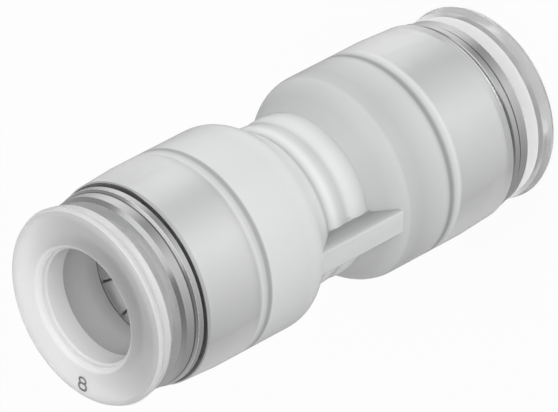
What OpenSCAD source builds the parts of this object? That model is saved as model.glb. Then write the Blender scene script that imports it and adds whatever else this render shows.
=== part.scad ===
// Straight push-in tube fitting with two equal ends, standing on its lower release ring.
// Heights inside an end are measured from the middle of the body, outwards along the axis.

/* [Tube] */
// Outside diameter of the tube that is pushed in
tube_d = 8; // [6:0.5:12]
// Diameter of the passage between the two tube stops
passage_d = 6; // [3:0.5:7]
// Distance between the two tube stops
stop_len = 3.6; // [2:0.2:8]
// Length of the close socket that guides the tube's end
socket_len = 5.2; // [3:0.1:12]
// Radial clearance between the tube and the socket
socket_gap = 0.1; // [0.05:0.01:0.2]

/* [Release ring] */
// Radial clearance between the tube and the release ring
guide_gap = 0.15; // [0.1:0.01:0.25]
// Wall of the release ring's neck
ring_wall = 0.85; // [0.7:0.05:1.4]
// How far the collar stands out behind the sleeve's lip
collar_h = 0.45; // [0.3:0.05:0.7]
// Length of the collar along the axis
collar_len = 0.7; // [0.4:0.05:1]
// Stroke that frees the tube
travel = 1.05; // [0.4:0.05:1.2]
// Thickness of the push flange
flange_t = 1.53; // [1.3:0.05:2.4]
// Length of the flange's straight rim
rim_band = 0.95; // [0.6:0.05:1]
// How much narrower the rim is at its back
rim_draft = 0.13; // [0.05:0.01:0.2]
// Bevel at the rim's back edge
back_bevel = 0.25; // [0.1:0.05:0.4]
// Step between the straight rim and the rounded face
rim_step = 0.08; // [0.04:0.01:0.15]
// Rounding of the flange's outer edge
face_round = 0.5; // [0.2:0.05:0.6]
// Rounding of the mouth
mouth_round = 0.42; // [0.15:0.01:0.5]
// Number of slots that let the collar snap in
ring_slots = 2; // [2:1:6]
// Width of one of those slots
ring_slot_w = 0.5; // [0.3:0.05:0.8]

/* [Digit in the ring's face] */
// Height of the digit
digit_h = 1.1; // [0.9:0.05:1.15]
// Width of its larger lobe
digit_w = 0.85; // [0.8:0.05:1.1]
// Width of its stroke
digit_stroke = 0.16; // [0.1:0.01:0.2]
// How deep it is sunk
digit_depth = 0.06; // [0.03:0.01:0.12]

/* [Sleeve] */
// Radial clearance round the sliding ring
slide_gap = 0.1; // [0.05:0.01:0.15]
// Thickness of the lip that holds the ring's collar
lip_t = 1; // [0.6:0.05:1.4]
// Length of the sleeve's visible head
head_len = 1.73; // [1.5:0.01:2.6]
// Open line between the head and the body's end
head_gap = 0.22; // [0.1:0.01:0.4]
// How far the head lies inside the body's end radius
head_inset = 0.21; // [0.1:0.01:0.3]
// Length of the head's wide band, next to the body
band_len = 0.5; // [0.3:0.05:0.7]
// Drop in radius from that band to the head's front part
head_step = 0.18; // [0.08:0.01:0.25]
// Bevel at the head's front edge
head_bevel = 0.26; // [0.1:0.01:0.35]
// Wall of the sleeve's tail
tail_wall = 0.5; // [0.35:0.01:0.7]
// Height of the bead at the tail's end that snaps into the body
bead_h = 0.15; // [0.08:0.01:0.2]
// Length of that bead
bead_len = 0.35; // [0.25:0.05:0.6]

/* [Claw] */
// Thickness of the spring steel
claw_t = 0.3; // [0.2:0.02:0.4]
// Width of the rim that is clamped in the sleeve
claw_rim = 0.75; // [0.6:0.05:1]
// Slope of the teeth from the rim
tooth_angle = 35; // [25:1:42]
// Number of teeth
teeth = 12; // [8:1:16]
// Width of the slot between two teeth
tooth_slot = 0.2; // [0.2:0.05:1]
// How far a tooth tip stands inside the tube's surface
bite = 0.15; // [0.05:0.01:0.25]
// Free space behind the teeth
flex_gap = 0.3; // [0.15:0.05:0.5]
// How far a claw's rim is covered by the sleeve's inner step
claw_seat = 0.4; // [0.3:0.05:0.6]

/* [Seal] */
// Thickness of the sealing ring's cord
seal_cord = 1.8; // [1.5:0.1:2.4]
// How far the sealing ring stands inside the tube's surface
seal_bite = 0.07; // [0.03:0.01:0.15]
// Length of the support ring between seal and claw
support_len = 4.25; // [1.9:0.05:6]

/* [Body] */
// Wall outside the sleeve's tail
body_wall = 1.01; // [0.8:0.01:1.4]
// Length of the slight taper at each end of the body
taper_len = 3; // [2:0.1:4]
// Drop in radius over that taper
taper_drop = 0.16; // [0.08:0.01:0.25]
// Bevel at the body's end
end_bevel = 0.15; // [0.08:0.01:0.25]
// Radius of the waist
waist_r = 5.95; // [5.6:0.05:6.6]
// Length of the waist
waist_len = 4; // [2.8:0.1:5]
// Curve of the two soft swells that meet in the middle of the waist
swell_round = 4; // [3:0.1:8]
// Height above and below the middle at which a swell stands out most
swell_pos = 1.05; // [0.8:0.05:1.3]
// Slope of the shoulders
shoulder_angle = 33; // [25:1:40]
// Rounding between shoulder and barrel
shoulder_round = 2.2; // [1:0.1:2.6]

/* [Ribs] */
// Thickness of the two side ribs
rib_t = 2; // [1.4:0.1:3]
// How far the ribs lie inside the barrel's radius
rib_inset = 0.3; // [0.1:0.05:0.6]
// Rounding of the ribs' outer edges
rib_edge = 0.3; // [0.1:0.05:0.5]
// Fillet at the ribs' foot
rib_fillet = 0.35; // [0.15:0.05:0.6]

/* [Hidden] */
$fn = 96;

// Play between pieces that are pressed or laid together
fit_gap = 0.02;
// Overshoot of a cut past the face that it opens
cut = 0.5;

// Radii, from the tube outwards
tube_r = tube_d / 2;
socket_r = tube_r + socket_gap;
guide_r = tube_r + guide_gap;
neck_r = guide_r + ring_wall;
lip_r = neck_r + slide_gap;
collar_r = neck_r + collar_h;
cavity_r = collar_r + slide_gap;
claw_r = cavity_r + claw_seat;
tail_in_r = claw_r + fit_gap;
tail_r = tail_in_r + tail_wall;
bead_r = tail_r + bead_h;
sleeve_bore_r = tail_r + fit_gap;
barrel_r = sleeve_bore_r + body_wall;
end_r = barrel_r - taper_drop;
head_r = end_r - head_inset;
round_r = head_r - rim_step;
seal_mid_r = tube_r - seal_bite + seal_cord / 2;
chamber_r = seal_mid_r + seal_cord / 2 + fit_gap;
rib_r = barrel_r - rib_inset;

// Heights along the axis, from the middle outwards
stop_z = stop_len / 2;
chamber_z = stop_z + socket_len;
seal_z = chamber_z + fit_gap + seal_cord / 2;
ledge_z = chamber_z + seal_cord + 2 * fit_gap;
support_top = ledge_z + support_len;
claw_top = support_top + claw_t;
step_z = claw_top + fit_gap;
tail_end = ledge_z + fit_gap;
bead_top = tail_end + bead_len;

// The release ring's tip stops just short of the teeth when it is pushed right in
tip_wall = 0.35;
tip_r = guide_r + tip_wall;
tip_reach = 0.05;
claw_in_r = claw_r - claw_rim;
function tooth_z(r) = claw_top - (claw_in_r - r) * tan(tooth_angle);
tip_z = tooth_z(tip_r) + tip_reach + travel;
collar_slope_len = 1.11;
collar_z = tip_z + collar_slope_len;
collar_top = collar_z + collar_len;
lip_z = collar_top + fit_gap;
sleeve_top = lip_z + lip_t;
head_z = sleeve_top - head_len;
body_top = head_z - head_gap;
flange_z = sleeve_top + travel;
face_z = flange_z + flange_t;
mid_z = face_z;

// The waist and the shoulders of the body
waist_z = waist_len / 2;
round_rise = shoulder_round * (1 - cos(shoulder_angle));
round_run = shoulder_round * sin(shoulder_angle);
cone_rise = barrel_r - waist_r - round_rise;
cone_z = waist_z + cone_rise / tan(shoulder_angle);
barrel_z = cone_z + round_run;
swell_drop = swell_round - sqrt(pow(swell_round, 2) - pow(swell_pos, 2));
// The plain core under the swells, which the shoulders run down to
core_depth = 0.35;
core_r = waist_r - core_depth;
core_z = waist_z - core_depth / tan(shoulder_angle);

// Puts a piece that is drawn for the upper end at either end
module at_end(lower) {
    translate([0, 0, mid_z])
        rotate([lower ? 180 : 0, 0, 0])
            children();
}

// Outer outline of one half of the body, radius against height
module half_outline() {
    polygon([
        [0, -fit_gap], [core_r, -fit_gap], [core_r, core_z],
        [barrel_r - round_rise, cone_z], [barrel_r, barrel_z],
        [barrel_r, body_top - taper_len],
        [end_r, body_top - end_bevel],
        [end_r - end_bevel, body_top], [0, body_top]
    ]);
    translate([barrel_r - shoulder_round, barrel_z])
        circle(r = shoulder_round);
    intersection() {
        translate([waist_r - swell_round, swell_pos])
            circle(r = swell_round, $fn = 120);
        translate([core_r - fit_gap, -fit_gap])
            square([core_depth + 2 * fit_gap, waist_z + fit_gap]);
    }
}

// Space that one end's cartridge, seal and tube take out of the body
module end_space() {
    lead = 0.4;
    rotate_extrude()
        polygon([
            [0, stop_z], [socket_r, stop_z], [socket_r, chamber_z - lead],
            [socket_r + lead, chamber_z], [chamber_r, chamber_z],
            [chamber_r, ledge_z], [bead_r + fit_gap, ledge_z],
            [bead_r + fit_gap, bead_top + fit_gap],
            [sleeve_bore_r, bead_top + bead_h + fit_gap],
            [sleeve_bore_r, body_top - end_bevel],
            [sleeve_bore_r + end_bevel, body_top],
            [sleeve_bore_r + end_bevel, body_top + cut], [0, body_top + cut]
        ]);
}

// Section of the two ribs: a flat bar with round edges and a fillet at each foot
module rib_section() {
    square([2 * rib_r, rib_t - 2 * rib_edge], center = true);
    square([2 * (rib_r - rib_edge), rib_t], center = true);
    foot_r = waist_r - swell_drop / 2;
    foot_y = rib_t / 2 + rib_fillet;
    foot_x = sqrt(pow(foot_r + rib_fillet, 2) - pow(foot_y, 2));
    touch = foot_r / (foot_r + rib_fillet);
    for (side = [0, 1])
        mirror([side, 0])
            for (face = [0, 1])
                mirror([0, face]) {
                    translate([rib_r - rib_edge, rib_t / 2 - rib_edge])
                        circle(r = rib_edge);
                    difference() {
                        polygon([
                            [foot_x, 0], [foot_x, foot_y],
                            [foot_x * touch, foot_y * touch],
                            [foot_x * touch - core_depth, foot_y * touch],
                            [foot_x * touch - core_depth, 0]
                        ]);
                        translate([foot_x, foot_y])
                            circle(r = rib_fillet);
                    }
                }
}

// The ribs lie in the plane of the Y axis
module body() {
    color([0.86, 0.87, 0.87])
        translate([0, 0, mid_z])
            difference() {
                union() {
                    rotate_extrude()
                        for (end = [0, 1])
                            mirror([0, end])
                                half_outline();
                    translate([0, 0, -barrel_z])
                        rotate([0, 0, 90])
                            linear_extrude(2 * barrel_z)
                                rib_section();
                }
                cylinder(d = passage_d, h = 2 * chamber_z, center = true);
                for (end = [0, 1])
                    mirror([0, 0, end])
                        end_space();
            }
}

// Turned sleeve: stepped head with a lip, and a tail whose bead snaps into the body
module sleeve() {
    bevel = 0.08;
    band_top = head_z + band_len;
    front_r = head_r - head_step;
    color([0.62, 0.63, 0.64])
        rotate_extrude()
            polygon([
                [tail_in_r, tail_end], [bead_r - bevel, tail_end],
                [bead_r, tail_end + bevel], [bead_r, bead_top],
                [tail_r, bead_top + bead_h],
                [tail_r, head_z], [head_r - bevel, head_z], [head_r, head_z + bevel],
                [head_r, band_top], [front_r, band_top + head_step],
                [front_r, sleeve_top - head_bevel], [front_r - head_bevel, sleeve_top],
                [lip_r + bevel, sleeve_top], [lip_r, sleeve_top - bevel],
                [lip_r, lip_z], [cavity_r, lip_z],
                [cavity_r, step_z], [tail_in_r, step_z]
            ]);
}

// One lobe of the digit: a flat ring with round ends
module lobe(width, height) {
    difference() {
        lobe_area(width, height);
        lobe_area(width - 2 * digit_stroke, height - 2 * digit_stroke);
    }
}

// Area inside a lobe's outline
module lobe_area(width, height) {
    square([width - height, height], center = true);
    for (side = [-1, 1])
        translate([side * (width - height) / 2, 0])
            circle(d = height, $fn = 24);
}

// The digit 8, its lower and larger lobe outwards; it stands for the 8 mm tube only
module digit_cut() {
    digit_tube = 8;
    large_share = 0.53;
    narrower = 0.88;
    margin = 0.13;
    large_h = large_share * (digit_h + digit_stroke);
    small_h = digit_h + digit_stroke - large_h;
    digit_r = round_r - face_round - margin - digit_h / 2;
    if (tube_d == digit_tube)
        translate([-digit_r, 0, face_z - digit_depth])
            rotate([0, 0, -90])
                linear_extrude(digit_depth + cut) {
                    translate([0, (large_h - digit_h) / 2])
                        lobe(digit_w, large_h);
                    translate([0, (digit_h - small_h) / 2])
                        lobe(narrower * digit_w, small_h);
                }
}

// Release ring: push flange, neck, collar and a tapered tip that reaches for the teeth
module release_ring() {
    lead_in = 0.12;
    ledge = 0.03;
    mouth_r = guide_r + lead_in;
    mouth_depth = 0.6;
    mouth_arc_r = mouth_r + ledge + mouth_round;
    crease_share = 0.76;
    crease_z = face_z - crease_share * mouth_round;
    back_r = head_r - rim_draft;
    slot_top = lip_z + lip_t / 2;
    slot_turn = 45;
    color([0.93, 0.94, 0.93])
        difference() {
            rotate_extrude() {
                polygon([
                    [guide_r, tip_z], [tip_r, tip_z],
                    [collar_r, collar_z], [collar_r, collar_top],
                    [neck_r, collar_top], [neck_r, flange_z],
                    [back_r - back_bevel, flange_z], [back_r, flange_z + back_bevel],
                    [head_r, flange_z + rim_band],
                    [round_r, flange_z + rim_band],
                    [round_r, face_z - face_round],
                    [round_r - face_round, face_z],
                    [mouth_arc_r, face_z], [mouth_arc_r, crease_z],
                    [mouth_r, crease_z], [mouth_r, face_z - mouth_depth],
                    [guide_r, face_z - mouth_depth - lead_in]
                ]);
                translate([round_r - face_round, face_z - face_round])
                    circle(r = face_round);
                translate([mouth_arc_r, face_z - mouth_round])
                    circle(r = mouth_round);
            }
            for (i = [0 : ring_slots - 1])
                rotate([0, 0, slot_turn + i * 360 / ring_slots])
                    translate([guide_r - cut, -ring_slot_w / 2, tip_z - cut])
                        cube([collar_r - guide_r + 2 * cut, ring_slot_w, slot_top - tip_z + cut]);
            digit_cut();
        }
}

// Gripping claw: a flat rim with sloping teeth that dig into the tube
module claw() {
    point_r = tube_r - bite;
    root_r = claw_in_r - tooth_slot / 2;
    color([0.55, 0.56, 0.58])
        difference() {
            rotate_extrude()
                polygon([
                    [claw_r, support_top], [claw_r, claw_top],
                    [claw_in_r, claw_top], [point_r, tooth_z(point_r)],
                    [point_r, tooth_z(point_r) - claw_t / 2],
                    [point_r + claw_t / 2, tooth_z(point_r + claw_t / 2) - claw_t / cos(tooth_angle)],
                    [claw_in_r, support_top - claw_t * (1 / cos(tooth_angle) - 1)],
                    [claw_in_r + claw_t * tan(tooth_angle), support_top]
                ]);
            for (i = [0 : teeth - 1])
                rotate([0, 0, i * 360 / teeth])
                    translate([0, 0, ledge_z]) {
                        translate([0, -tooth_slot / 2, 0])
                            cube([root_r, tooth_slot, support_len + claw_t + cut]);
                        translate([root_r, 0, 0])
                            cylinder(d = tooth_slot, h = support_len + claw_t + cut, $fn = 24);
                    }
        }
}

// Support ring: backs the claw's rim, leaves room for the teeth and closes the seal's chamber
module support_ring() {
    rim_r = claw_in_r + claw_t;
    floor_z = tooth_z(guide_r) - claw_t / cos(tooth_angle) - flex_gap;
    bevel = 0.15;
    color([0.8, 0.81, 0.8])
        rotate_extrude()
            polygon([
                [guide_r, ledge_z], [claw_r - bevel, ledge_z], [claw_r, ledge_z + bevel],
                [claw_r, support_top - fit_gap], [rim_r, support_top - fit_gap],
                [rim_r, support_top - flex_gap],
                [guide_r, floor_z]
            ]);
}

// Sealing ring, round in section
module seal() {
    color([0.63, 0.64, 0.64])
        rotate_extrude()
            translate([seal_mid_r, seal_z])
                circle(d = seal_cord);
}

body();
at_end(false) sleeve();  // upper_sleeve
at_end(true) sleeve();  // lower_sleeve
at_end(false) release_ring();  // upper_release_ring
at_end(true) release_ring();  // lower_release_ring
at_end(false) claw();  // upper_claw
at_end(true) claw();  // lower_claw
at_end(false) support_ring();  // upper_support_ring
at_end(true) support_ring();  // lower_support_ring
at_end(false) seal();  // upper_seal
at_end(true) seal();  // lower_seal
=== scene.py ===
import math
import bpy
from mathutils import Matrix, Vector


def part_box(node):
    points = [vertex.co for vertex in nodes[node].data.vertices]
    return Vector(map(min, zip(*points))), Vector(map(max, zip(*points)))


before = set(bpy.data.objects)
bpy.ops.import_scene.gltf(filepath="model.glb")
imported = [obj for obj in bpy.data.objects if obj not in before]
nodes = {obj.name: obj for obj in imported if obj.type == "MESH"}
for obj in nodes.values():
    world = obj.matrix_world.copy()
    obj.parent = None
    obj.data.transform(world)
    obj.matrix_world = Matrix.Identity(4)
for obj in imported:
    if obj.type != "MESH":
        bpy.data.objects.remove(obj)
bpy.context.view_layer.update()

bpy.ops.object.select_all(action="DESELECT")

# Body: one moulding of milky, translucent polymer, satin from the mould. The sleeves' tails snap
# into its two barrels. There the wall is thin and the steel shines through it; the shoulders,
# the waist and the ribs are solid, and their tones are painted shade and light.
MM = 0.001
MIDDLE = (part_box("body")[0].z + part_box("body")[1].z) / 2
SMOOTH_BELOW = math.radians(28)
WELD_WITHIN = 0.0002 * MM
WHITE = (1.0, 1.0, 1.0, 1)
PLASTIC_IOR = 1.49


def new_material(name):
    """A node material with its principled shader and its object coordinates."""
    material = bpy.data.materials.new(name)
    material.use_nodes = True
    shader = material.node_tree.nodes["Principled BSDF"]
    place = material.node_tree.nodes.new("ShaderNodeTexCoord")
    return material, shader, place.outputs["Object"]


def add_node(owner, kind, inputs=None, **settings):
    """A node with its settings, and its inputs set or linked."""
    node = owner.node_tree.nodes.new(kind)
    for key, value in settings.items():
        setattr(node, key, value)
    for socket, value in (inputs or {}).items():
        if isinstance(value, bpy.types.NodeSocket):
            owner.node_tree.links.new(value, node.inputs[socket])
        else:
            node.inputs[socket].default_value = value
    return node


def link(owner, output, shader, socket):
    owner.node_tree.links.new(output, shader.inputs[socket])


def number(owner, operation, first, second=0.0):
    inputs = {0: first, 1: second}
    return add_node(owner, "ShaderNodeMath", inputs, operation=operation).outputs[0]


def both_of(owner, first, second):
    return number(owner, "MULTIPLY", first, second)


def either_of(owner, first, second):
    return number(owner, "MAXIMUM", first, second)


def above(owner, value, limit):
    """One where a length is more than a limit in millimetres."""
    return number(owner, "GREATER_THAN", value, limit * MM)


def below(owner, value, limit):
    """One where a length is less than a limit in millimetres."""
    return number(owner, "LESS_THAN", value, limit * MM)


def between(owner, value, low, high):
    """One where a length lies between two limits in millimetres."""
    inputs = {0: value, 1: (low + high) / 2 * MM, 2: (high - low) / 2 * MM}
    return add_node(owner, "ShaderNodeMath", inputs, operation="COMPARE").outputs[0]


def ramped(owner, value, low, high, first=0.0, last=1.0, **settings):
    """A number that goes from first to last while value goes from low to high."""
    inputs = {"Value": value, "From Min": low, "From Max": high, "To Min": first, "To Max": last}
    return add_node(owner, "ShaderNodeMapRange", inputs, **settings).outputs["Result"]


def sloped(owner, value, low, high, first=0.0, last=1.0, **settings):
    """The same for a length, with low and high in millimetres."""
    return ramped(owner, value, low * MM, high * MM, first, last, **settings)


def mixed(owner, factor, first, second, **settings):
    """A colour between two colours."""
    inputs = {"Factor": factor, 6: first, 7: second}
    return add_node(owner, "ShaderNodeMix", inputs, data_type="RGBA", **settings).outputs[2]


def mixed_number(owner, factor, first, second):
    """A number between two numbers."""
    return add_node(owner, "ShaderNodeMix", {"Factor": factor, 2: first, 3: second}).outputs[0]


def painted(owner, colour, *coats):
    """A colour with others laid over it in turn, each where its mask is one."""
    for mask, coat in coats:
        colour = mixed(owner, mask, colour, coat)
    return colour


def grey_ramp(owner, factor, stops):
    """Greys along a line, as pairs of a position from zero to one and a tone."""
    ramp = add_node(owner, "ShaderNodeValToRGB", {"Fac": factor})
    while len(ramp.color_ramp.elements) < len(stops):
        ramp.color_ramp.elements.new(0.5)
    for stop, (position, tone) in zip(ramp.color_ramp.elements, stops):
        stop.position = position
        stop.color = (tone, tone, tone, 1)
    return ramp.outputs["Color"]


def noise(owner, place, scale, detail):
    inputs = {"Vector": place, "Scale": scale, "Detail": detail}
    return add_node(owner, "ShaderNodeTexNoise", inputs).outputs["Fac"]


def mottled(owner, place, scale, dark, light):
    """Slow change between two tones, as in moulded plastic of uneven thickness."""
    return mixed(owner, noise(owner, place, scale, 2.0), (*dark, 1), (*light, 1))


def uneven(owner, place, scale, low, high):
    """A number that wanders between low and high."""
    return ramped(owner, noise(owner, place, scale, 3.0), 0.0, 1.0, low, high)


def fine_relief(owner, place, scale, strength, depth):
    """Bump of the mould's or the tool's surface, with its depth in millimetres."""
    inputs = {"Height": noise(owner, place, scale, 4.0), "Strength": strength,
              "Distance": depth * MM}
    return add_node(owner, "ShaderNodeBump", inputs).outputs["Normal"]


def where_on_part(owner, place):
    """Height from the fitting's middle, the same without its sign, and distance from the axis."""
    parts = add_node(owner, "ShaderNodeSeparateXYZ", {"Vector": place})
    height = number(owner, "SUBTRACT", parts.outputs["Z"], MIDDLE)
    flat = add_node(owner, "ShaderNodeVectorMath", {0: place, 1: (1.0, 1.0, 0.0)},
                    operation="MULTIPLY")
    radius = add_node(owner, "ShaderNodeVectorMath", {0: flat.outputs[0]}, operation="LENGTH")
    return height, number(owner, "ABSOLUTE", height), radius.outputs["Value"]


def towards(owner, place, direction):
    """How far a point lies from the axis in a level direction."""
    return add_node(owner, "ShaderNodeVectorMath", {0: place, 1: direction},
                    operation="DOT_PRODUCT").outputs["Value"]


def dress(node, material):
    """Gives a CAD node its material, smooth across its facets and crisp at its edges."""
    thing = nodes[node]
    thing.data.materials.clear()
    thing.data.materials.append(material)
    for face in thing.data.polygons:
        face.use_smooth = True
    weld = thing.modifiers.new("joined facets", "WELD")
    weld.merge_threshold = WELD_WITHIN
    split = thing.modifiers.new("crisp edges", "EDGE_SPLIT")
    split.split_angle = SMOOTH_BELOW


body_plastic, shader, place = new_material("milky_body")
height, away, radius = where_on_part(body_plastic, place)
side = add_node(body_plastic, "ShaderNodeNewGeometry")

# The wall over each steel tail is partly clear, less so where it is seen edge-on. The tail's seat
# has no surface of its own: there the plastic touches the steel.
OUTER_WALL_R = 6.7
SEAT_R = (6.3, 6.7)
SEAT_FROM = 8.3
WINDOW_SHIFT = 0.4
WINDOW_OPENS = (9.45, 9.85)
SEEN_THROUGH = 0.6
SEEN_THROUGH_EDGE_ON = 0.15
shifted = number(body_plastic, "ABSOLUTE",
                 number(body_plastic, "SUBTRACT", height, WINDOW_SHIFT * MM))
over_tail = sloped(body_plastic, shifted, *WINDOW_OPENS, 0.0, SEEN_THROUGH,
                   interpolation_type="SMOOTHSTEP")
facing = add_node(body_plastic, "ShaderNodeLayerWeight", {"Blend": 0.5}).outputs["Facing"]
thin = ramped(body_plastic, facing, 0.5, 0.85, 1.0, SEEN_THROUGH_EDGE_ON)
outside = above(body_plastic, radius, OUTER_WALL_R)
window = both_of(body_plastic, both_of(body_plastic, over_tail, outside), thin)
seat = both_of(body_plastic, between(body_plastic, radius, *SEAT_R),
               above(body_plastic, away, SEAT_FROM))
leaving = both_of(body_plastic, side.outputs["Backfacing"], outside)
link(body_plastic, either_of(body_plastic, window, either_of(body_plastic, seat, leaving)),
     shader, "Transmission Weight")
link(body_plastic, ramped(body_plastic, seat, 0.0, 1.0, PLASTIC_IOR, 1.0), shader, "IOR")

# Painted shade and light by height above the middle, in millimetres: a dark line at each tail's
# end, where its steel end and the shade beside it show through, darker shoulders, and the waist's
# lit swells with painted shade in the creases beside them. They were tuned to the photograph's
# view, so the two ends differ here though they are alike.
RAMP_REACH = 12
PAINTED_SHADE_BY_HEIGHT = [(-12.0, 0.97), (-9.3, 0.97), (-9.0, 0.78), (-8.75, 0.72), (-8.6, 0.55), (-8.45, 0.38),
         (-8.25, 0.40), (-8.05, 0.66), (-7.8, 0.72), (-5.6, 0.61), (-4.5, 0.62), (-4.3, 0.69),
         (-3.0, 0.62), (-2.0, 0.64), (-1.5, 0.74), (-0.6, 0.86), (-0.2, 0.85), (0.25, 0.68),
         (0.75, 0.74), (1.3, 0.94), (1.6, 0.87), (2.0, 0.62), (2.2, 0.68), (2.5, 0.88),
         (5.5, 0.78), (9.0, 0.80), (9.15, 0.46), (9.4, 0.44), (9.6, 0.68), (9.85, 0.72),
         (10.1, 0.97), (10.5, 1.0)]
tone = grey_ramp(body_plastic, sloped(body_plastic, height, -RAMP_REACH, RAMP_REACH),
                 [((mm + RAMP_REACH) / (2 * RAMP_REACH), value) for mm, value in PAINTED_SHADE_BY_HEIGHT])
# The plastic's mottled tone, multiplied by the painted shade and light by height.
milky = mixed(body_plastic, 1.0,
              mottled(body_plastic, place, 260, (0.93, 0.94, 0.94), (0.97, 0.975, 0.975)),
              tone, blend_type="MULTIPLY")

# The ribs, which stand towards -Y and +Y: painted shade on their outer faces, and on their sides,
# darker at the foot.
RIB_ZONE = (4.3, 1.3)
RIB_TOP = (3.9, 1.02)
RIB_FACE_R = 7.1
RIB_SIDE_R = (6.0, 7.2)
parts = add_node(body_plastic, "ShaderNodeSeparateXYZ", {"Vector": place})
across = number(body_plastic, "ABSOLUTE", parts.outputs["X"])
near_rib, over_rib = [both_of(body_plastic, below(body_plastic, away, half_length),
                              below(body_plastic, across, half_thickness))
                      for half_length, half_thickness in (RIB_ZONE, RIB_TOP)]
rib_face_painted_shade = both_of(body_plastic, over_rib, above(body_plastic, radius, RIB_FACE_R))
turned_to = add_node(body_plastic, "ShaderNodeSeparateXYZ", {"Vector": side.outputs["Normal"]})
steep = ramped(body_plastic, number(body_plastic, "ABSOLUTE", turned_to.outputs["X"]), 0.3, 0.8)
rib_side = both_of(body_plastic, near_rib, steep)
rib_shade = mixed(body_plastic, sloped(body_plastic, radius, *RIB_SIDE_R),
                  (0.34, 0.35, 0.35, 1), (0.50, 0.51, 0.51, 1))

# Painted shadow in a dark line round the upper end, by the gap at the sleeve's head, and painted
# shade on the lower end's bevelled rim. FRONT is the side that the photograph shows, and the line
# reaches less far out there than elsewhere.
FRONT = (0.643, -0.766, 0.0)
REST_TO_FRONT = (4.5, 6.5)
GAP_R_REST, GAP_R_FRONT = 7.25, 7.12
GAP_FROM = 14.76
RIM_FROM = 14.72
RIM_R = 7.1
gap_edge = sloped(body_plastic, towards(body_plastic, place, FRONT), *REST_TO_FRONT,
                  GAP_R_REST * MM, GAP_R_FRONT * MM)
end_gap_painted_shadow = both_of(body_plastic, above(body_plastic, height, GAP_FROM),
                  number(body_plastic, "LESS_THAN", radius, gap_edge))
far_rim_painted_shade = both_of(body_plastic, below(body_plastic, height, -RIM_FROM),
                  above(body_plastic, radius, RIM_R))
# Base colour: the milky tone with painted shade laid on the ribs, the lower rim and the upper
# end's gap, and plain white where light leaves the plastic.
link(body_plastic, painted(body_plastic, milky,
                           (rib_face_painted_shade, (0.72, 0.73, 0.73, 1)),
                           (rib_side, rib_shade),
                           (far_rim_painted_shade, (0.45, 0.455, 0.455, 1)),
                           (end_gap_painted_shadow, (0.20, 0.20, 0.20, 1)),
                           (leaving, WHITE)), shader, "Base Color")
link(body_plastic, mixed_number(body_plastic, seat, uneven(body_plastic, place, 700, 0.10, 0.15),
                                0.03), shader, "Roughness")
link(body_plastic, fine_relief(body_plastic, place, 3000, 0.03, 0.02), shader, "Normal")
shader.inputs["Subsurface Weight"].default_value = 0.6
shader.inputs["Subsurface Radius"].default_value = (1.0, 1.0, 1.0)
shader.inputs["Subsurface Scale"].default_value = 0.4 * MM
dress("body", body_plastic)

# Sleeves: turned stainless steel, one at each end. Fine tool marks run round the head. The tail
# is pressed into the barrel until its bead snaps in, and shines through the body's wall.
UNDER_WALL = 14.85
TAIL_OUTER_R = 6.7
TAIL_BORE_R = 5.9
HEAD_BACK = (14.85, 15.12)
HEAD_BACK_R = 7.1
STEP_FACE = (15.58, 15.62)
STEP_FACE_R = (6.96, 7.12)
STEP_LINE = (15.76, 15.88)
STEP_LINE_R = 6.9
steel, shader, place = new_material("turned_steel")
height, away, radius = where_on_part(steel, place)
tooled = add_node(steel, "ShaderNodeMapping",
                  {"Vector": place, "Scale": (0.02, 0.02, 1.0)}).outputs[0]
turned = mottled(steel, tooled, 9000, (0.66, 0.66, 0.665), (0.74, 0.74, 0.745))
under_wall = both_of(steel, below(steel, away, UNDER_WALL), below(steel, radius, TAIL_OUTER_R))
inside = below(steel, radius, TAIL_BORE_R)
painted_shadow_behind_head = both_of(steel, between(steel, height, *HEAD_BACK), below(steel, radius, HEAD_BACK_R))
painted_shadow_by_step = both_of(steel, between(steel, away, *STEP_LINE), above(steel, radius, STEP_LINE_R))
step_face_painted_reflection = both_of(steel, between(steel, away, *STEP_FACE), between(steel, radius, *STEP_FACE_R))
# The steel inside and under the body's wall is lighter. The head's step face is near-white and
# hardly metallic, a painted reflection; a painted shadow line lies beside the step, and painted
# shadow fills the gap behind the head.
link(steel, painted(steel, turned,
                    (either_of(steel, inside, under_wall), (0.86, 0.86, 0.86, 1)),
                    (step_face_painted_reflection, (0.95, 0.95, 0.95, 1)),
                    (painted_shadow_by_step, (0.25, 0.25, 0.25, 1)),
                    (painted_shadow_behind_head, (0.03, 0.03, 0.03, 1))), shader, "Base Color")
link(steel, mixed_number(steel, inside, uneven(steel, tooled, 14000, 0.20, 0.30), 0.7),
     shader, "Roughness")
link(steel, fine_relief(steel, tooled, 20000, 0.10, 0.02), shader, "Normal")
link(steel, ramped(steel, step_face_painted_reflection, 0.0, 1.0, 1.0, 0.2), shader, "Metallic")
for end in ("upper", "lower"):
    dress(end + "_sleeve", steel)

# Release rings: translucent mouldings that slide in the sleeves, held by a collar that snaps in
# behind each sleeve's lip, with a digit sunk in the face. The upper face carries painted light and
# shade, lighter towards LIT_SIDE, away from the photograph's side. The lower ring is clearer than
# the upper one.
DIGIT_FLOOR = (19.34, 19.40)
DIGIT_R = (5.2, 6.5)
FACE_FROM = 19.2
LIT_SIDE = (-0.643, 0.766, 0.0)
LIT_REACH = 6.0
BORE_R = 4.3
MOUTH_R = 4.6
MOUTH_FROM = 17.2
BORE_SHADE = (15.2, 17.2)
MOUTH_EDGE = (19.0, 18.2)
TIP_LINE = 14.1
TIP_LINE_R = 4.32
HAZE = 0.72
ring_plastic, shader, place = new_material("clear_ring")
height, away, radius = where_on_part(ring_plastic, place)
side = add_node(ring_plastic, "ShaderNodeNewGeometry")
milky = mottled(ring_plastic, place, 300, (0.93, 0.935, 0.93), (0.96, 0.965, 0.96))
lit = sloped(ring_plastic, towards(ring_plastic, place, LIT_SIDE), -LIT_REACH, LIT_REACH)
face_painted_light_and_shade = mixed(ring_plastic, lit, (0.60, 0.605, 0.60, 1), (0.99, 0.99, 0.99, 1))
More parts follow.
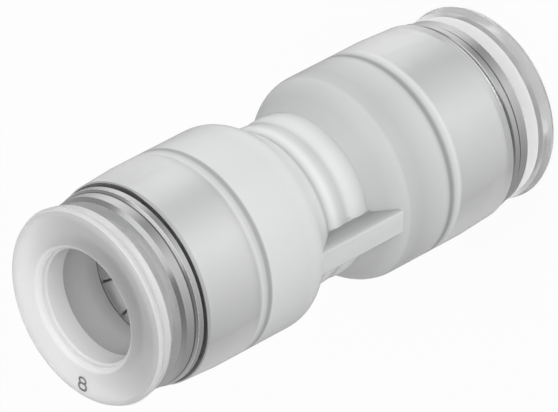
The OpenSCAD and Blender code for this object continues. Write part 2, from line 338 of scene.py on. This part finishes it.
on_face = above(ring_plastic, height, FACE_FROM)
bore_painted_shade = mixed(ring_plastic, sloped(ring_plastic, away, *BORE_SHADE),
                  (0.98, 0.985, 0.98, 1), (0.56, 0.565, 0.56, 1))
in_bore = both_of(ring_plastic, below(ring_plastic, radius, BORE_R),
                  below(ring_plastic, away, MOUTH_FROM))
in_mouth = below(ring_plastic, radius, MOUTH_R)
mouth_wall = both_of(ring_plastic,
                     both_of(ring_plastic, in_mouth, sloped(ring_plastic, height, *MOUTH_EDGE)),
                     above(ring_plastic, height, MOUTH_FROM))
sunk = both_of(ring_plastic, between(ring_plastic, away, *DIGIT_FLOOR),
               between(ring_plastic, radius, *DIGIT_R))
tip_painted_shadow = both_of(ring_plastic, below(ring_plastic, away, TIP_LINE),
                   below(ring_plastic, radius, TIP_LINE_R))
# Painted shade darkens the bore deeper in, the mouth's wall is pure white as painted light, and
# painted shade darkens the sunk digit's floor and a line at the ring's tip.
link(ring_plastic, painted(ring_plastic, milky,
                           (on_face, face_painted_light_and_shade),
                           (in_bore, bore_painted_shade),
                           (mouth_wall, WHITE),
                           (either_of(ring_plastic, sunk, tip_painted_shadow), (0.2, 0.2, 0.2, 1))),
     shader, "Base Color")
far = below(ring_plastic, height, 0.0)
link(ring_plastic, mixed_number(ring_plastic, far, uneven(ring_plastic, place, 800, 0.36, 0.44),
                                0.12), shader, "Roughness")
link(ring_plastic, fine_relief(ring_plastic, place, 2500, 0.03, 0.02), shader, "Normal")
entering = mixed_number(ring_plastic, in_mouth, ramped(ring_plastic, lit, 0.0, 1.0, 0.5, 0.2),
                        0.05)
hazy = both_of(ring_plastic, far, HAZE)
clear = either_of(ring_plastic, entering,
                  either_of(ring_plastic, side.outputs["Backfacing"], hazy))
link(ring_plastic, clear, shader, "Transmission Weight")
shader.inputs["IOR"].default_value = PLASTIC_IOR
shader.inputs["Coat Weight"].default_value = 0.5
shader.inputs["Coat Roughness"].default_value = 0.06
link(ring_plastic, ramped(ring_plastic, mouth_wall, 0.0, 1.0, 1.0, 0.4),
     shader, "Subsurface Weight")
shader.inputs["Subsurface Radius"].default_value = (1.0, 1.0, 1.0)
shader.inputs["Subsurface Scale"].default_value = 1.5 * MM
for end in ("upper", "lower"):
    dress(end + "_release_ring", ring_plastic)

# Claws: stamped from thin spring steel, bright from rolling, with fine scratches one way. Each is
# held by its rim between the sleeve's inner step and the support ring.
spring, shader, place = new_material("spring_steel")
drawn = add_node(spring, "ShaderNodeMapping",
                 {"Vector": place, "Scale": (1.0, 0.08, 1.0)}).outputs[0]
link(spring, mottled(spring, drawn, 4000, (0.92, 0.92, 0.92), (0.97, 0.97, 0.97)),
     shader, "Base Color")
link(spring, uneven(spring, drawn, 9000, 0.45, 0.6), shader, "Roughness")
link(spring, fine_relief(spring, drawn, 9000, 0.08, 0.02), shader, "Normal")
shader.inputs["Metallic"].default_value = 0.4
for end in ("upper", "lower"):
    dress(end + "_claw", spring)

# Support rings: plain white mouldings between the claw and the seal, slid into the sleeves'
# tails. The photograph doesn't show them.
support_plastic, shader, place = new_material("support_plastic")
link(support_plastic,
     mottled(support_plastic, place, 500, (0.74, 0.75, 0.74), (0.8, 0.81, 0.8)),
     shader, "Base Color")
link(support_plastic, uneven(support_plastic, place, 900, 0.38, 0.5), shader, "Roughness")
link(support_plastic, fine_relief(support_plastic, place, 3000, 0.05, 0.03), shader, "Normal")
for end in ("upper", "lower"):
    dress(end + "_support_ring", support_plastic)

# Sealing rings: soft moulded rubber, pale, with a dull skin. They lie in the body's chambers,
# closed by the support rings.
rubber, shader, place = new_material("seal_rubber")
link(rubber, mottled(rubber, place, 700, (0.60, 0.61, 0.61), (0.66, 0.67, 0.67)),
     shader, "Base Color")
link(rubber, uneven(rubber, place, 1200, 0.5, 0.62), shader, "Roughness")
link(rubber, fine_relief(rubber, place, 5000, 0.08, 0.03), shader, "Normal")
for end in ("upper", "lower"):
    dress(end + "_seal", rubber)

# Floor: a pale table that shows white to the camera and through clear plastic, and keeps a soft
# shadow. The steel mirrors grey studio walls instead, by compass direction, low and higher up. The
# low walls' tones were taken from the photograph's brightness on the upper sleeve's wide band.
FLOOR_SIZE = 3
FLOOR_WHITE_SHARE = 0.93
LOW_WALLS = [(-180, 0.36), (-132, 0.37), (-92, 0.55), (-48, 0.80), (-12, 0.46), (6, 0.33),
             (30, 0.80), (58, 0.96), (88, 0.64), (108, 0.46), (180, 0.36)]
HIGH_WALLS = [(-180, 0.5), (-114, 0.2), (-60, 0.22), (0, 0.3), (70, 0.3), (132, 0.43), (180, 0.5)]
SURFACES_OF_ONE_PIECE = 3.5


def studio_tone(owner, direction, walls):
    """Brightness of the studio's walls by direction, as the steel mirrors them."""
    turn = add_node(owner, "ShaderNodeTexGradient", {"Vector": direction},
                    gradient_type="RADIAL")
    return grey_ramp(owner, turn.outputs["Fac"],
                     [(degrees / 360 + 0.5, value) for degrees, value in walls])


def straight_through(owner, rays):
    """One for what the camera sees directly or through one clear piece."""
    few = number(owner, "LESS_THAN", rays.outputs["Transmission Depth"], SURFACES_OF_ONE_PIECE)
    plastic = both_of(owner, rays.outputs["Is Transmission Ray"], few)
    return either_of(owner, rays.outputs["Is Camera Ray"], plastic)


def after_gloss(owner, rays):
    """One for what a glossy surface mirrors."""
    return number(owner, "GREATER_THAN", rays.outputs["Glossy Depth"], 0.5)


def shown(owner, factor, first, second):
    """One shader where the factor is zero and another where it is one."""
    inputs = {0: factor, 1: first.outputs[0], 2: second.outputs[0]}
    return add_node(owner, "ShaderNodeMixShader", inputs)


bpy.ops.mesh.primitive_plane_add(size=FLOOR_SIZE, location=(0, 0, 0))
floor = bpy.context.object
floor.name = "floor"
floor.visible_glossy = False
floor_paint = bpy.data.materials.new("floor_paint")
floor_paint.use_nodes = True
tree = floor_paint.node_tree
tree.nodes.remove(tree.nodes["Principled BSDF"])
place = add_node(floor_paint, "ShaderNodeTexCoord").outputs["Object"]
matt = add_node(floor_paint, "ShaderNodeBsdfDiffuse", {"Color": (0.9, 0.9, 0.9, 1)})
white = add_node(floor_paint, "ShaderNodeEmission", {"Color": WHITE, "Strength": 1.0})
studio = add_node(floor_paint, "ShaderNodeEmission",
                  {"Color": studio_tone(floor_paint, place, LOW_WALLS)})
rays = add_node(floor_paint, "ShaderNodeLightPath")
seen = shown(floor_paint, FLOOR_WHITE_SHARE, matt, white)
mirrored = shown(floor_paint, after_gloss(floor_paint, rays), matt, studio)
both = shown(floor_paint, straight_through(floor_paint, rays), mirrored, seen)
tree.links.new(both.outputs[0], tree.nodes["Material Output"].inputs["Surface"])
floor.data.materials.append(floor_paint)

# World: soft daylight from all round, plain white where the camera sees it. In the steel it is a
# grey studio with one bright low side, and darker walls above.
DAYLIGHT = 0.58
HORIZON = (-0.3, 0.1)
world = bpy.data.worlds.new("studio")
bpy.context.scene.world = world
world.use_nodes = True
sky = world.node_tree
glow = sky.nodes["Background"]
glow.inputs["Color"].default_value = WHITE
glow.inputs["Strength"].default_value = DAYLIGHT
plain = add_node(world, "ShaderNodeBackground", {"Color": WHITE, "Strength": 1.0})
way = add_node(world, "ShaderNodeTexCoord").outputs["Generated"]
up = add_node(world, "ShaderNodeSeparateXYZ", {"Vector": way})
tone = mixed(world, ramped(world, up.outputs["Z"], *HORIZON),
             studio_tone(world, way, LOW_WALLS), studio_tone(world, way, HIGH_WALLS))
walls = add_node(world, "ShaderNodeBackground", {"Color": tone, "Strength": 1.0})
rays = add_node(world, "ShaderNodeLightPath")
mirrored = shown(world, after_gloss(world, rays), glow, walls)
both = shown(world, straight_through(world, rays), mirrored, plain)
sky.links.new(both.outputs[0], sky.nodes["World Output"].inputs["Surface"])

# Camera: the photograph's long lens, fitted to the circles and outlines that were picked on it.
# The fitting lies across the picture, so the camera is rolled.
LENS = 483.4
SENSOR = 36
STANDPOINT = Vector((0.26867, -0.29838, 0.33224))
RIGHT = Vector((0.01740, -0.71513, -0.69877))
UP = Vector((0.84890, 0.37981, -0.36757))
camera = bpy.data.objects.new("camera", bpy.data.cameras.new("camera"))
bpy.context.scene.collection.objects.link(camera)
bpy.context.scene.camera = camera
camera.data.lens = LENS
camera.data.sensor_width = SENSOR
turn = Matrix((RIGHT, UP, RIGHT.cross(UP))).transposed()
camera.matrix_world = Matrix.Translation(STANDPOINT) @ turn.to_4x4()

# Lamps: one large soft key beside the camera, a fill from the front and a small one from above.
# Each has its azimuth and elevation in degrees, distance, width and depth in metres, and watts.
CENTRE = Vector((0, 0, MIDDLE))


def soft_lamp(name, azimuth, elevation, distance, width, depth, power):
    """A soft box that faces the fitting."""
    a, e = math.radians(azimuth), math.radians(elevation)
    way = Vector((math.cos(e) * math.cos(a), math.cos(e) * math.sin(a), math.sin(e)))
    lamp = bpy.data.objects.new(name, bpy.data.lights.new(name, "AREA"))
    bpy.context.scene.collection.objects.link(lamp)
    lamp.data.shape = "RECTANGLE"
    lamp.data.size = width
    lamp.data.size_y = depth
    lamp.data.energy = power
    facing_fitting = way.to_track_quat("Z", "Y").to_matrix().to_4x4()
    lamp.matrix_world = Matrix.Translation(CENTRE + way * distance) @ facing_fitting
    return lamp


soft_lamp("key", -5, 47, 0.4, 0.5, 0.35, 0.33)
front = soft_lamp("front", -45, 15, 0.5, 0.3, 0.3, 0.55)
front.visible_glossy = False
top = soft_lamp("top", -50, 72, 0.4, 0.2, 0.2, 0.25)
top.visible_glossy = False

scene = bpy.context.scene
scene.view_settings.view_transform = "Standard"
